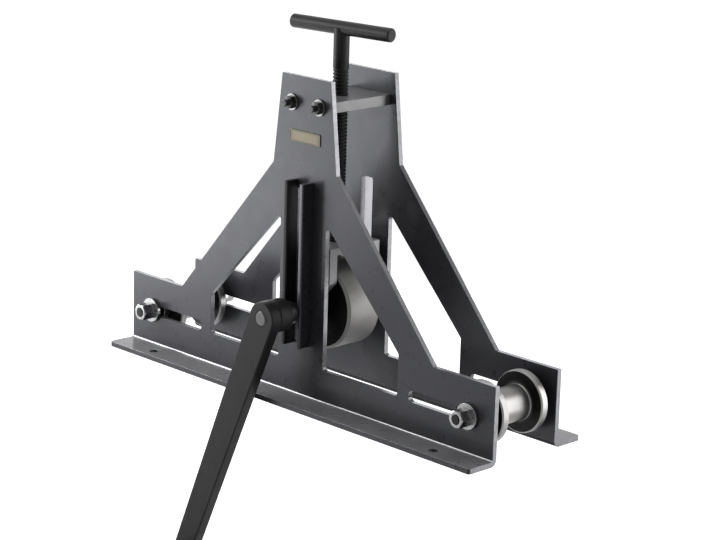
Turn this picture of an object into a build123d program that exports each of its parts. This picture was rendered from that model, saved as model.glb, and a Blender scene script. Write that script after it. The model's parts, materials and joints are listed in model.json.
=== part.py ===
from build123d import *
import math
import os

# Manual pipe bender, in millimetres.
# X runs along the base, Y from the front plate to the rear plate, Z up.
# The origin is the centre of the base's underside, where the bench bolts go.

# Side plates: a tower on two sloping legs, bent outwards at the foot
PLATE_T = 6
OUTER_Y = 52  # outer face of each plate, from the middle plane
INNER_Y = OUTER_Y - PLATE_T
BASE_LENGTH = 600
BASE_HEIGHT = 88.5
SHOULDER_X = 209  # where a sloping leg meets the base
TOWER_FOOT_X = 51.3
TOWER_FOOT_Z = 268.6
TOWER_TOP_X = 39.3
TOWER_TOP_Z = 371.9
FOOT_DEPTH = 36
FOOT_CORNER_R = 3
BEND_R = 2  # inside radius of the bend
WINDOW_INNER_X = 37
WINDOW_OUTER_X = 156
WINDOW_BOTTOM_Z = 42.8
WINDOW_SIDE_Z = 90.7
WINDOW_APEX_Z = 213
WINDOW_CORNER_R = 4
BENCH_HOLE_X = 234
BENCH_HOLE_Y = 73.5
BENCH_HOLE_R = 5.5

# Guide rails beside the shaft slot
SHAFT_SLOT_W = 19
SHAFT_SLOT_BOTTOM_Z = 66
SHAFT_SLOT_TOP_Z = 247
SHAFT_SLOT_CORNER_R = 3
RAIL_T = 6
RAIL_DEPTH = 16
RAIL_BOTTOM_Z = 66
RAIL_TOP_Z = 255
RAIL_CHAMFER = 1
RAIL_FRONT_Y = OUTER_Y + RAIL_DEPTH

# Bridge plate, its bolts and the lead nut
BRIDGE_HALF_X = 33
BRIDGE_BOTTOM_Z = 335
BRIDGE_TOP_Z = 347
BRIDGE_MID_Z = (BRIDGE_BOTTOM_Z + BRIDGE_TOP_Z) / 2
BRIDGE_BOLT_X = 22
BRIDGE_BOLT_R = 4
BRIDGE_BOLT_GRIP = 20  # thread length inside the bridge plate
BRIDGE_BOLT_HOLE_R = 4.5
BRIDGE_HEAD_FLATS = 13
BRIDGE_HEAD_H = 5.3
BRIDGE_WASHER_R = 9.5
BRIDGE_WASHER_T = 2
LEAD_NUT_R = 14
LEAD_NUT_CAP = 3  # bridge plate left above the lead nut
LEAD_NUT_TOP_Z = BRIDGE_TOP_Z - LEAD_NUT_CAP

# Label plate on the front of the tower
LABEL_W = 50
LABEL_H = 14
LABEL_T = 1
LABEL_Z = 304
LABEL_CORNER_R = 2

# Yoke: a fork over the centre roller
SHAFT_Z = 106
SHAFT_R = 9
YOKE_TOP_Z = 180
YOKE_PLATE_T = 8
YOKE_PLATE_Z = YOKE_TOP_Z - YOKE_PLATE_T
YOKE_HALF_X = 31
YOKE_SHOULDER_Z = 139
YOKE_LUG_R = 18
YOKE_LEG_INNER_Y = 27
YOKE_LEG_OUTER_Y = 39
SHAFT_BUSH_R = 12
SHAFT_BUSH_FLANGE_R = 16
SHAFT_BUSH_FLANGE_T = 1.5

# Lead screw and its T handle
SCREW_R = 9
SCREW_FIT = 0.08  # radial play of the screw in the lead nut
SCREW_CLEARANCE = 0.5  # radial gap round the screw at the top of the bridge plate
JOURNAL_R = 6
SCREW_BUSH_R = 9
THRUST_WASHER_R = 14
THRUST_WASHER_T = 2
FACE_GAP = 0.05  # end play between faces that turn on each other
NUT_END_GAP = 0.1
RETAINING_NUT_FLATS = 19
RETAINING_NUT_H = 8
RETAINING_PIN_R = 1.5
JOURNAL_END_Z = 158
TEE_BAR_Z = 422
TEE_BAR_R = 8
TEE_BAR_LENGTH = 142
TEE_BAR_YAW = 7  # degrees about Z
TEE_BAR_CHAMFER = 1.5

# Centre roller on the drive shaft
RUNNING_FIT = 0.05  # radial play of a shaft in its bush
ROLLER_R = 50
ROLLER_HALF_W = 25
ROLLER_CHAMFER = 3
KEY_W = 6
KEY_H = 6
KEY_LENGTH = 40
KEY_SEAT = 3.5  # depth of the key's seat in the shaft
SHAFT_FRONT_Y = -114
SHAFT_REAR_Y = 81
SHAFT_CHAMFER = 1.5
SPACER_R = 13
SPACER_GAP = 0.5  # end play between the rails and the spacer or collar
COLLAR_R = 16
COLLAR_W = 12
GRUB_R = 3
GRUB_SOCKET_FLATS = 3
GRUB_SOCKET_DEPTH = 2.5

# Crank
HUB_R = 19
HUB_REAR_Y = -80
ARM_REAR_Y = -99
ARM_FRONT_Y = -113
ARM_END_R = 14.3
ARM_REACH = 350  # shaft axis to grip axis
ARM_LEAN = 22.9  # degrees from hanging straight down, towards -X
ARM_CHAMFER = 1
SPINDLE_R = 6
SPINDLE_HEAD_R = 9
SPINDLE_HEAD_H = 6
SPINDLE_TAIL = 2  # thread left showing behind the nut
GRIP_NUT_FLATS = 19
GRIP_NUT_H = 7
GRIP_GAP = 1
GRIP_LENGTH = 105
GRIP_NECK_R = 13
GRIP_BELLY_R = 16.5
GRIP_END_R = 15
GRIP_RECESS_R = 10.5
GRIP_RECESS_DEPTH = 8
GRIP_EDGE_R = 3

# Lower rollers on axles clamped in slots
AXLE_X = 263
AXLE_Z = 47.8
AXLE_TRAVEL = 84  # how far an axle slides towards the middle
AXLE_SLOT_H = 13
AXLE_R = 6
AXLE_SLEEVE_R = 9
AXLE_SLEEVE_GAP = 0.05
AXLE_BUSH_R = 12
AXLE_BUSH_LENGTH = 25
AXLE_SPACER_R = 14.5
AXLE_SPACER_GAP = 0.3  # end play at both ends of a spacer
AXLE_WASHER_R = 14.5
AXLE_WASHER_T = 4
AXLE_NUT_FLATS = 18
AXLE_NUT_H = 16
AXLE_TAIL = 1  # stud left showing past the nut
SPOOL_HALF_W = 36
SPOOL_FLANGE_T = 10.5
SPOOL_FLANGE_R = 35
SPOOL_CORE_R = 20
SPOOL_CHAMFER = 1.5
SPOOL_THROAT_R = 4

NUT_CHAMFER = 1.2
STUD_CHAMFER = 1
PLAIN_BOTTOM = (Align.CENTER, Align.CENTER, Align.MIN)


def rod_y(radius, y0, y1, x=0, z=0):
    """A cylinder along Y from y0 to y1."""
    return Pos(x, y0, z) * Rot(-90, 0, 0) * Cylinder(radius, y1 - y0, align=PLAIN_BOTTOM)


def rod_z(radius, z0, z1, x=0, y=0):
    """A cylinder along Z from z0 to z1."""
    return Pos(x, y, z0) * Cylinder(radius, z1 - z0, align=PLAIN_BOTTOM)


def tube_y(outer, inner, y0, y1, x=0, z=0):
    """A plain ring or tube along Y from y0 to y1."""
    return rod_y(outer, y0, y1, x, z) - rod_y(inner, y0, y1, x, z)


def prism_y(face, y0, y1):
    """A face drawn in X and Z, extruded from y0 to y1."""
    return extrude(Pos(0, y1, 0) * (Plane.XZ * face), y1 - y0)


def turned_y(profile, x=0, z=0):
    """A closed profile of (radius, y) points, turned about an axis along Y."""
    face = make_face(Polyline(*profile, close=True))
    return Pos(x, 0, z) * revolve(face, Axis.Y)


def turned_z(profile):
    """A closed profile of (radius, z) points, turned about the Z axis."""
    face = make_face(Polyline(*profile, close=True))
    return revolve(Plane.XZ * face, Axis.Z)


def stud_profile(radius, low, high, chamfer):
    """The half section of a rod with both ends chamfered, as (radius, station) points."""
    return [
        (0, low),
        (radius - chamfer, low),
        (radius, low + chamfer),
        (radius, high - chamfer),
        (radius - chamfer, high),
        (0, high),
    ]


def hexagon(flats):
    """A hexagon of that size across its flats."""
    return RegularPolygon(flats / 2, 6, major_radius=False)


def hex_y(flats, y0, y1, x=0, z=0):
    """A hexagon bar along Y with its corners turned off at both ends."""
    bar = prism_y(hexagon(flats), y0, y1)
    corner_r = flats / math.sqrt(3)
    return Pos(x, 0, z) * (bar & turned_y(stud_profile(corner_r, y0, y1, NUT_CHAMFER)))


def hex_nut_y(flats, bore, y0, y1, x=0, z=0):
    """A hexagon nut along Y."""
    return hex_y(flats, y0, y1, x, z) - rod_y(bore, y0, y1, x, z)


def mirrored_face(points):
    """A closed face, symmetric about the second axis, from the points of its right half."""
    left = [(-u, v) for u, v in reversed(points)]
    return make_face(Polyline(*points, *left, close=True))


def either_way(low, high, sign):
    """The interval from low to high, or its mirror image when sign is -1, lowest first."""
    return (low, high) if sign > 0 else (-high, -low)


def bent_section():
    """The front plate's upright and foot, drawn in Y and Z, with the two radii of the bend."""
    toe_y = OUTER_Y + FOOT_DEPTH
    section = make_face(
        Polyline(
            (-INNER_Y, TOWER_TOP_Z),
            (-INNER_Y, 0),
            (-toe_y, 0),
            (-toe_y, PLATE_T),
            (-OUTER_Y, PLATE_T),
            (-OUTER_Y, TOWER_TOP_Z),
            close=True,
        )
    )
    heel = section.vertices().sort_by_distance((-INNER_Y, 0, 0))[0]
    section = fillet(heel, BEND_R + PLATE_T)
    crease = section.vertices().sort_by_distance((-OUTER_Y, PLATE_T, 0))[0]
    return fillet(crease, BEND_R)


def plate_outline():
    """The outline of a plate, drawn in X and Z."""
    return mirrored_face(
        [
            (BASE_LENGTH / 2, 0),
            (BASE_LENGTH / 2, BASE_HEIGHT),
            (SHOULDER_X, BASE_HEIGHT),
            (TOWER_FOOT_X, TOWER_FOOT_Z),
            (TOWER_TOP_X, TOWER_TOP_Z),
        ]
    )


def window(sign):
    """The open panel between the tower's middle post and a sloping leg."""
    corners = [
        (sign * WINDOW_INNER_X, WINDOW_BOTTOM_Z),
        (sign * WINDOW_OUTER_X, WINDOW_BOTTOM_Z),
        (sign * WINDOW_OUTER_X, WINDOW_SIDE_Z),
        (sign * WINDOW_INNER_X, WINDOW_APEX_Z),
    ]
    face = make_face(Polyline(*corners, close=True))
    return fillet(face.vertices(), WINDOW_CORNER_R)


def shaft_slot():
    """The upright slot that the drive shaft moves in."""
    height = SHAFT_SLOT_TOP_Z - SHAFT_SLOT_BOTTOM_Z
    middle = (SHAFT_SLOT_TOP_Z + SHAFT_SLOT_BOTTOM_Z) / 2
    return Pos(0, middle) * RectangleRounded(SHAFT_SLOT_W, height, SHAFT_SLOT_CORNER_R)


def axle_slot(sign):
    """The level slot that a lower roller's axle is clamped in."""
    middle = sign * (AXLE_X - AXLE_TRAVEL / 2)
    return Pos(middle, AXLE_Z) * SlotOverall(AXLE_TRAVEL + AXLE_SLOT_H, AXLE_SLOT_H)


def front_plate():
    """The front plate: bent, cut to its outline, with its windows, slots and holes."""
    toe_y = OUTER_Y + FOOT_DEPTH
    plate = extrude(Plane.YZ * bent_section(), BASE_LENGTH / 2, both=True)
    plate = plate & prism_y(plate_outline(), -toe_y, -INNER_Y)
    toes = plate.edges().filter_by(Axis.Z).group_by(Axis.Y)[0]
    plate = fillet(toes, FOOT_CORNER_R)
    openings = [window(-1), window(1), shaft_slot(), axle_slot(-1), axle_slot(1)]
    for opening in openings:
        plate -= prism_y(opening, -OUTER_Y, -INNER_Y)
    for sign in (-1, 1):
        plate -= rod_y(BRIDGE_BOLT_HOLE_R, -OUTER_Y, -INNER_Y, sign * BRIDGE_BOLT_X, BRIDGE_MID_Z)
        plate -= rod_z(BENCH_HOLE_R, 0, PLATE_T, sign * BENCH_HOLE_X, -BENCH_HOLE_Y)
    return plate


def rail(x_sign, y_sign):
    """A flat bar on edge beside the shaft slot, with its two outer long edges broken."""
    x0, x1 = either_way(SHAFT_SLOT_W / 2, SHAFT_SLOT_W / 2 + RAIL_T, x_sign)
    y0, y1 = either_way(OUTER_Y, RAIL_FRONT_Y, y_sign)
    bar = Pos(x0, y0, RAIL_BOTTOM_Z) * Box(
        x1 - x0, y1 - y0, RAIL_TOP_Z - RAIL_BOTTOM_Z, align=(Align.MIN, Align.MIN, Align.MIN)
    )
    outer_edges = bar.edges().filter_by(Axis.Z).sort_by(Axis.Y)
    outer_edges = outer_edges[-2:] if y_sign > 0 else outer_edges[:2]
    return chamfer(outer_edges, RAIL_CHAMFER)


def bridge_plate():
    """The cross plate between the tower tops, bored for the lead nut and tapped for its bolts."""
    plate = Pos(0, 0, BRIDGE_BOTTOM_Z) * Box(
        2 * BRIDGE_HALF_X, 2 * INNER_Y, BRIDGE_TOP_Z - BRIDGE_BOTTOM_Z, align=PLAIN_BOTTOM
    )
    plate -= rod_z(LEAD_NUT_R, BRIDGE_BOTTOM_Z, LEAD_NUT_TOP_Z)
    plate -= rod_z(SCREW_R + SCREW_CLEARANCE, LEAD_NUT_TOP_Z, BRIDGE_TOP_Z)
    for x_sign in (-1, 1):
        for y_sign in (-1, 1):
            y0, y1 = either_way(INNER_Y - BRIDGE_BOLT_GRIP, INNER_Y, y_sign)
            plate -= rod_y(BRIDGE_BOLT_R, y0, y1, x_sign * BRIDGE_BOLT_X, BRIDGE_MID_Z)
    return plate


def lead_nut():
    """The threaded bush that the screw runs in, let into the bridge plate from below."""
    nut = rod_z(LEAD_NUT_R, BRIDGE_BOTTOM_Z, LEAD_NUT_TOP_Z)
    return nut - rod_z(SCREW_R + SCREW_FIT, BRIDGE_BOTTOM_Z, LEAD_NUT_TOP_Z)


def bridge_bolt(x_sign, y_sign):
    """A hexagon bolt into the end of the bridge plate."""
    seat = OUTER_Y + BRIDGE_WASHER_T
    x = x_sign * BRIDGE_BOLT_X
    head = hex_y(BRIDGE_HEAD_FLATS, *either_way(seat, seat + BRIDGE_HEAD_H, y_sign), x, BRIDGE_MID_Z)
    shank_y = either_way(INNER_Y - BRIDGE_BOLT_GRIP, seat, y_sign)
    return head + rod_y(BRIDGE_BOLT_R, *shank_y, x, BRIDGE_MID_Z)


def bridge_washer(x_sign, y_sign):
    """A plain washer under a bridge bolt's head."""
    y0, y1 = either_way(OUTER_Y, OUTER_Y + BRIDGE_WASHER_T, y_sign)
    return tube_y(BRIDGE_WASHER_R, BRIDGE_BOLT_R, y0, y1, x_sign * BRIDGE_BOLT_X, BRIDGE_MID_Z)


def at_four_corners(maker):
    """One solid from maker at each of the four bridge bolts."""
    return [maker(x_sign, y_sign) for x_sign in (-1, 1) for y_sign in (-1, 1)]


def label_plate():
    """A bare metal plate on the front of the tower."""
    face = Pos(0, LABEL_Z) * RectangleRounded(LABEL_W, LABEL_H, LABEL_CORNER_R)
    return prism_y(face, -OUTER_Y - LABEL_T, -OUTER_Y)


def yoke():
    """A fork: a top plate on two legs that narrow to a round lug at the shaft."""
    neck_z = YOKE_SHOULDER_Z - (YOKE_HALF_X - YOKE_LUG_R)
    side = mirrored_face(
        [
            (YOKE_LUG_R, SHAFT_Z),
            (YOKE_LUG_R, neck_z),
            (YOKE_HALF_X, YOKE_SHOULDER_Z),
            (YOKE_HALF_X, YOKE_TOP_Z),
        ]
    )
    side += Pos(0, SHAFT_Z) * Circle(YOKE_LUG_R)
    fork = prism_y(side, -YOKE_LEG_OUTER_Y, YOKE_LEG_OUTER_Y)
    gap_height = YOKE_PLATE_Z - (SHAFT_Z - YOKE_LUG_R)
    gap = Pos(0, 0, SHAFT_Z - YOKE_LUG_R) * Box(
        2 * YOKE_HALF_X, 2 * YOKE_LEG_INNER_Y, gap_height, align=PLAIN_BOTTOM
    )
    fork -= gap
    fork -= rod_y(SHAFT_BUSH_R, -YOKE_LEG_OUTER_Y, YOKE_LEG_OUTER_Y, 0, SHAFT_Z)
    return fork - rod_z(SCREW_BUSH_R, YOKE_PLATE_Z, YOKE_TOP_Z)


def shaft_bush(y_sign):
    """A flanged bush in one leg of the yoke."""
    bore = SHAFT_R + RUNNING_FIT
    leg = either_way(YOKE_LEG_INNER_Y, YOKE_LEG_OUTER_Y, y_sign)
    flange = either_way(YOKE_LEG_INNER_Y - SHAFT_BUSH_FLANGE_T, YOKE_LEG_INNER_Y, y_sign)
    body = tube_y(SHAFT_BUSH_R, bore, *leg, 0, SHAFT_Z)
    return body + tube_y(SHAFT_BUSH_FLANGE_R, bore, *flange, 0, SHAFT_Z)


def screw_bush():
    """The bush in the yoke's top plate that the screw's journal turns in."""
    bush = rod_z(SCREW_BUSH_R, YOKE_PLATE_Z, YOKE_TOP_Z)
    return bush - rod_z(JOURNAL_R + RUNNING_FIT, YOKE_PLATE_Z, YOKE_TOP_Z)


def thrust_washer():
    """The washer on top of the yoke that takes the screw's push."""
    top = YOKE_TOP_Z + THRUST_WASHER_T
    ring = rod_z(THRUST_WASHER_R, YOKE_TOP_Z, top)
    return ring - rod_z(JOURNAL_R + RUNNING_FIT, YOKE_TOP_Z, top)


def tee_rod(radius, half_length):
    """A rod along the T handle's axis."""
    bar = Rot(0, 90, 0) * Cylinder(radius, 2 * half_length)
    return Pos(0, 0, TEE_BAR_Z) * Rot(0, 0, TEE_BAR_YAW) * bar


def tee_bar():
    """The cross bar of the T handle, with both ends chamfered."""
    half = TEE_BAR_LENGTH / 2
    lying = turned_z(stud_profile(TEE_BAR_R, -half, half, TEE_BAR_CHAMFER))
    return Pos(0, 0, TEE_BAR_Z) * Rot(0, 0, TEE_BAR_YAW) * Rot(0, 90, 0) * lying


def retaining_nut_span():
    """Lowest and highest Z of the nut under the yoke's top plate."""
    top = YOKE_PLATE_Z - NUT_END_GAP
    return top - RETAINING_NUT_H, top


def retaining_pin_hole():
    """The cross hole through the retaining nut and the journal."""
    bottom, top = retaining_nut_span()
    half = RETAINING_NUT_FLATS / 2
    return rod_y(RETAINING_PIN_R, -half, half, 0, (bottom + top) / 2)


def lead_screw():
    """The screw: a stem saddled under the T bar, a shoulder, and a journal through the yoke."""
    shoulder_z = YOKE_TOP_Z + THRUST_WASHER_T + FACE_GAP
    screw = turned_z(
        [
            (0, JOURNAL_END_Z),
            (JOURNAL_R - STUD_CHAMFER, JOURNAL_END_Z),
            (JOURNAL_R, JOURNAL_END_Z + STUD_CHAMFER),
            (JOURNAL_R, shoulder_z),
            (SCREW_R, shoulder_z),
            (SCREW_R, TEE_BAR_Z),
            (0, TEE_BAR_Z),
        ]
    )
    return screw - tee_rod(TEE_BAR_R, 2 * SCREW_R) - retaining_pin_hole()


def retaining_nut():
    """The nut that keeps the journal in the yoke."""
    bottom, top = retaining_nut_span()
    nut = Pos(0, 0, bottom) * extrude(hexagon(RETAINING_NUT_FLATS), RETAINING_NUT_H)
    return nut - rod_z(JOURNAL_R, bottom, top) - retaining_pin_hole()


def key_box(height, bottom_z):
    """A box in the place of the roller's key, from bottom_z up."""
    return Pos(0, 0, bottom_z) * Box(KEY_W, KEY_LENGTH, height, align=PLAIN_BOTTOM)


def key_bottom():
    """The floor of the key's seat in the shaft."""
    return SHAFT_Z + SHAFT_R - KEY_SEAT


def drive_shaft():
    """The shaft that the crank turns, with its key seat."""
    profile = stud_profile(SHAFT_R, SHAFT_FRONT_Y, SHAFT_REAR_Y, SHAFT_CHAMFER)
    return turned_y(profile, 0, SHAFT_Z) - key_box(KEY_H, key_bottom())


def centre_roller():
    """The plain roller that presses the work down, keyed to the shaft."""
    w = ROLLER_HALF_W
    profile = [
        (SHAFT_R, -w),
        (ROLLER_R - ROLLER_CHAMFER, -w),
        (ROLLER_R, -w + ROLLER_CHAMFER),
        (ROLLER_R, w - ROLLER_CHAMFER),
        (ROLLER_R - ROLLER_CHAMFER, w),
        (SHAFT_R, w),
    ]
    return turned_y(profile, 0, SHAFT_Z) - key_box(KEY_H, key_bottom())


def grub_screw(ring_r, y):
    """A socket grub screw pointing down into the shaft from the top of a ring at y."""
    bottom, top = SHAFT_Z + SHAFT_R, SHAFT_Z + ring_r - GRUB_SOCKET_DEPTH / 2
    screw = rod_z(GRUB_R, bottom, top, 0, y)
    socket = extrude(hexagon(GRUB_SOCKET_FLATS), GRUB_SOCKET_DEPTH)
    return screw - Pos(0, y, top - GRUB_SOCKET_DEPTH) * socket


def clamped_ring(ring_r, y0, y1):
    """A ring on the shaft, chamfered, with a hole for its grub screw at the top."""
    bevel = STUD_CHAMFER
    ring = turned_y(stud_profile(ring_r, y0, y1, bevel), 0, SHAFT_Z)
    ring -= rod_y(SHAFT_R, y0, y1, 0, SHAFT_Z)
    return ring - rod_z(GRUB_R, SHAFT_Z, SHAFT_Z + ring_r, 0, (y0 + y1) / 2)


def collar_span():
    """The rear collar's ends along Y."""
    start = RAIL_FRONT_Y + SPACER_GAP
    return start, start + COLLAR_W


def arm_point(distance):
    """X and Z of a point on the crank arm's centre line, that far from the shaft."""
    lean = math.radians(ARM_LEAN)
    return -distance * math.sin(lean), SHAFT_Z - distance * math.cos(lean)


def crank_arm():
    """A flat bar that tapers from a round head on the shaft to a round end at the grip."""
    end_x, end_z = arm_point(ARM_REACH)
    head = Pos(0, SHAFT_Z) * Circle(HUB_R)
    end = Pos(end_x, end_z) * Circle(ARM_END_R)
    arm = prism_y(make_hull(head.edges() + end.edges()), ARM_FRONT_Y, ARM_REAR_Y)
    rims = arm.edges().group_by(Axis.Y)
    arm = chamfer(rims[0] + rims[-1], ARM_CHAMFER)
    arm -= rod_y(SHAFT_R, ARM_FRONT_Y, ARM_REAR_Y, 0, SHAFT_Z)
    return arm - rod_y(SPINDLE_R, ARM_FRONT_Y, ARM_REAR_Y, end_x, end_z)


def grip_span():
    """The grip's ends along Y, outer end first."""
    inner = ARM_FRONT_Y - GRIP_GAP
    return inner - GRIP_LENGTH, inner


def grip_spindle():
    """The bolt that the grip turns on, through the arm and its nut."""
    outer, _ = grip_span()
    seat = outer + GRIP_RECESS_DEPTH - FACE_GAP
    x, z = arm_point(ARM_REACH)
    tail = ARM_REAR_Y + GRIP_NUT_H + SPINDLE_TAIL
    head = rod_y(SPINDLE_HEAD_R, seat - SPINDLE_HEAD_H, seat, x, z)
    return head + rod_y(SPINDLE_R, seat, tail, x, z)


def crank_grip():
    """A turned grip, thickest in the middle, with a recess for the spindle's head."""
    outer, inner = grip_span()
    waist = outer + GRIP_LENGTH / 2
    x, z = arm_point(ARM_REACH)
    belly = ThreePointArc((GRIP_NECK_R, inner), (GRIP_BELLY_R, waist), (GRIP_END_R, outer))
    ends = Polyline((GRIP_END_R, outer), (0, outer), (0, inner), (GRIP_NECK_R, inner))
    grip = revolve(make_face(belly + ends), Axis.Y)
    rims = grip.edges().filter_by(GeomType.CIRCLE)
    grip = fillet(rims, GRIP_EDGE_R)
    grip -= rod_y(SPINDLE_R + RUNNING_FIT, outer, inner)
    grip -= rod_y(GRIP_RECESS_R, outer, outer + GRIP_RECESS_DEPTH)
    return Pos(x, 0, z) * grip


def spool(x):
    """A lower roller: a core between two flanges, bored for its bushes."""
    w, throat = SPOOL_HALF_W, SPOOL_HALF_W - SPOOL_FLANGE_T
    c = SPOOL_CHAMFER
    profile = [
        (AXLE_BUSH_R, -w),
        (SPOOL_FLANGE_R - c, -w),
        (SPOOL_FLANGE_R, -w + c),
        (SPOOL_FLANGE_R, -throat - c),
        (SPOOL_FLANGE_R - c, -throat),
        (SPOOL_CORE_R, -throat),
        (SPOOL_CORE_R, throat),
        (SPOOL_FLANGE_R - c, throat),
        (SPOOL_FLANGE_R, throat + c),
        (SPOOL_FLANGE_R, w - c),
        (SPOOL_FLANGE_R - c, w),
        (AXLE_BUSH_R, w),
    ]
    face = make_face(Polyline(*profile, close=True))
    throats = face.vertices().filter_by(lambda v: abs(v.X - SPOOL_CORE_R) < c)
    return Pos(x, 0, AXLE_Z) * revolve(fillet(throats, SPOOL_THROAT_R), Axis.Y)


def pair_y(maker):
    """The two solids that maker gives for the rear and the front."""
    return [maker(y_sign) for y_sign in (1, -1)]


def axle_pieces(x):
    """The nodes of one lower roller and its clamped axle, by name without the side."""
    end = OUTER_Y + AXLE_WASHER_T + FACE_GAP
    nut_end = end + AXLE_NUT_H
    stud_end = nut_end + AXLE_TAIL
    sleeve_end = INNER_Y - AXLE_SLEEVE_GAP
    spacer_start = SPOOL_HALF_W + AXLE_SPACER_GAP
    spacer_end = INNER_Y - AXLE_SPACER_GAP
    bush_start = SPOOL_HALF_W - AXLE_BUSH_LENGTH

    def ring(outer, inner, low, high):
        return pair_y(lambda s: tube_y(outer, inner, *either_way(low, high, s), x, AXLE_Z))

    stud = turned_y(stud_profile(AXLE_R, -stud_end, stud_end, STUD_CHAMFER), x, AXLE_Z)
    nuts = pair_y(lambda s: hex_nut_y(AXLE_NUT_FLATS, AXLE_R, *either_way(end, nut_end, s), x, AXLE_Z))
    return {
        "roller": spool(x),
        "roller_bushes": ring(AXLE_BUSH_R, AXLE_SLEEVE_R + RUNNING_FIT, bush_start, SPOOL_HALF_W),
        "axle_stud": stud,
        "axle_sleeve": tube_y(AXLE_SLEEVE_R, AXLE_R, -sleeve_end, sleeve_end, x, AXLE_Z),
        "axle_spacers": ring(AXLE_SPACER_R, AXLE_SLEEVE_R, spacer_start, spacer_end),
        "axle_washers": ring(AXLE_WASHER_R, AXLE_R, OUTER_Y + FACE_GAP, end),
        "axle_nuts": nuts,
    }


def frame_pieces():
    """The fixed frame's nodes."""
    front = front_plate()
    pieces = {
        "front_plate": front,
        "rear_plate": mirror(front, about=Plane.XZ),
        "bridge_plate": bridge_plate(),
        "lead_nut": lead_nut(),
        "bridge_bolts": at_four_corners(bridge_bolt),
        "bridge_washers": at_four_corners(bridge_washer),
        "label_plate": label_plate(),
    }
    for end, y_sign in (("front", -1), ("rear", 1)):
        for side, x_sign in (("left", -1), ("right", 1)):
            pieces[f"{end}_rail_{side}"] = rail(x_sign, y_sign)
    return pieces


def carriage_pieces():
    """The yoke, its bushes, and the screw that carries it."""
    return {
        "yoke": yoke(),
        "front_shaft_bush": shaft_bush(-1),
        "rear_shaft_bush": shaft_bush(1),
        "screw_bush": screw_bush(),
        "thrust_washer": thrust_washer(),
        "lead_screw": lead_screw(),
        "tee_bar": tee_bar(),
        "retaining_nut": retaining_nut(),
        "retaining_pin": retaining_pin_hole(),
    }


def crank_pieces():
    """The driven roller, its shaft and the crank."""
    collar = collar_span()
    spacer_front = -(RAIL_FRONT_Y + SPACER_GAP)
    end_x, end_z = arm_point(ARM_REACH)
    nut_end = ARM_REAR_Y + GRIP_NUT_H
    return {
        "drive_shaft": drive_shaft(),
        "centre_roller": centre_roller(),
        "roller_key": key_box(KEY_H, key_bottom()),
        "front_spacer": tube_y(SPACER_R, SHAFT_R, HUB_REAR_Y, spacer_front, 0, SHAFT_Z),
        "rear_collar": clamped_ring(COLLAR_R, *collar),
        "rear_collar_screw": grub_screw(COLLAR_R, sum(collar) / 2),
        "crank_hub": clamped_ring(HUB_R, ARM_REAR_Y, HUB_REAR_Y),
        "hub_grub_screw": grub_screw(HUB_R, (ARM_REAR_Y + HUB_REAR_Y) / 2),
        "crank_arm": crank_arm(),
        "grip_spindle": grip_spindle(),
        "grip_nut": hex_nut_y(GRIP_NUT_FLATS, SPINDLE_R, ARM_REAR_Y, nut_end, end_x, end_z),
        "crank_grip": crank_grip(),
    }


def write(name, shape):
    """Writes one node: a single solid, or a list of separate ones as a group."""
    solids = shape if isinstance(shape, list) else [shape]
    parts = [solid for item in solids for solid in item.solids()]
    export_step(parts[0] if len(parts) == 1 else Compound(parts), f"parts/{name}.step")


os.makedirs("parts", exist_ok=True)
nodes = {**frame_pieces(), **carriage_pieces(), **crank_pieces()}
for side, sign in (("left", -1), ("right", 1)):
    for name, shape in axle_pieces(sign * AXLE_X).items():
        nodes[f"{side}_{name}"] = shape
for name, shape in nodes.items():
    write(name, shape)
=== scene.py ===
import json
import math

import bmesh
import bpy
from mathutils import Matrix, Vector

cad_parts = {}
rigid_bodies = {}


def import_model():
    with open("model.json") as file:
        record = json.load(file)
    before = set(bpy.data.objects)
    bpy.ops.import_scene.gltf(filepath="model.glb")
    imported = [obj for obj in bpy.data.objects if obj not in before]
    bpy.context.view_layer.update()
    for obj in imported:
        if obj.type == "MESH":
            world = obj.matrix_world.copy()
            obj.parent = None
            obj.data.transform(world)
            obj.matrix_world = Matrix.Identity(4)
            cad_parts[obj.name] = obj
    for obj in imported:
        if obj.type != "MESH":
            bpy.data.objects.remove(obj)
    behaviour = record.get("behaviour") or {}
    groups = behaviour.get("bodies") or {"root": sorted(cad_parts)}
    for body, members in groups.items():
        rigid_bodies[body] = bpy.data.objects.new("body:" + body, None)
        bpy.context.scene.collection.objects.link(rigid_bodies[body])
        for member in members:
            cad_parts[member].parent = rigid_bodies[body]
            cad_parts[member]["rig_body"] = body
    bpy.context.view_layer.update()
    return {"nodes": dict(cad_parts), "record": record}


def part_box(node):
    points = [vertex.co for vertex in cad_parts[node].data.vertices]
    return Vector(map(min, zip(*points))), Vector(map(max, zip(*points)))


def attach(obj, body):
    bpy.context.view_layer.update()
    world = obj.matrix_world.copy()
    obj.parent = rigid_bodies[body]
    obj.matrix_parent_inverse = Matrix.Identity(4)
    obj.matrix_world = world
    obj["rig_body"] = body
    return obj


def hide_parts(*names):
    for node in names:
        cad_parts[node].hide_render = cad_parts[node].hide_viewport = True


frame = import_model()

# Looks of a manual pipe bender, in metres, in the frame of the solids.

SCENE = bpy.context.scene
NODES = frame["nodes"]
SLOT_OF = {part["node"]: part["material_slot"] for part in frame["record"]["subparts"]}

# Camera, fitted to the plates' outline
AZIMUTH = math.radians(45.537)
ELEVATION = math.radians(14.788)
ROLL = math.radians(1.693)
DISTANCE = 2.676478
TARGET = Vector((0.036597, 0, 0.151578))
LENS = 119.33
SENSOR = 36
CLIP_END = 100

# Stage
WHITE = (1, 1, 1, 1)
FLOOR_Z = -0.31  # below the lowest sweep of the crank
FLOOR_SIZE = 60
FLOOR_COLOUR = (0.8, 0.8, 0.8, 1)
FLOOR_NEAR = 0.6  # metres from the middle where the floor's own glow starts to rise
FLOOR_FAR = 2.8  # metres from the middle where it is full
FLOOR_GLOW_NEAR = 0.60
FLOOR_GLOW_FAR = 1.0
AMBIENT = 0.06  # level of the surround where it lights matt surfaces

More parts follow.
